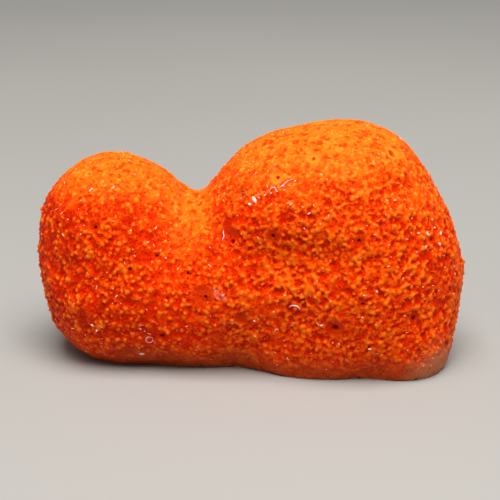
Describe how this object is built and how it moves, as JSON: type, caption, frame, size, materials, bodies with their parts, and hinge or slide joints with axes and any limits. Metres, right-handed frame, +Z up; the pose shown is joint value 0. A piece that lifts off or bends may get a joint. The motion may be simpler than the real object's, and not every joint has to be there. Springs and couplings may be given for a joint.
{
  "type": "sea sponge",
  "caption": "Firm cushion-shaped sea sponge with a smaller and a larger rounded lobe, a notch between their crowns and a flat cut base to stand on.",
  "frame": {"origin": "on the flat cut base, under the middle of the sponge's box", "axes": "+Z up from the cut base, +X along both lobes towards the larger one, -Y towards the front face"},
  "size_m": [0.08, 0.036, 0.0452],
  "materials": {
    "sponge_tissue": "satin"
  },
  "bodies": {
    "root": {"sponge_body": "sponge_tissue"}
  },
  "joints": []
}
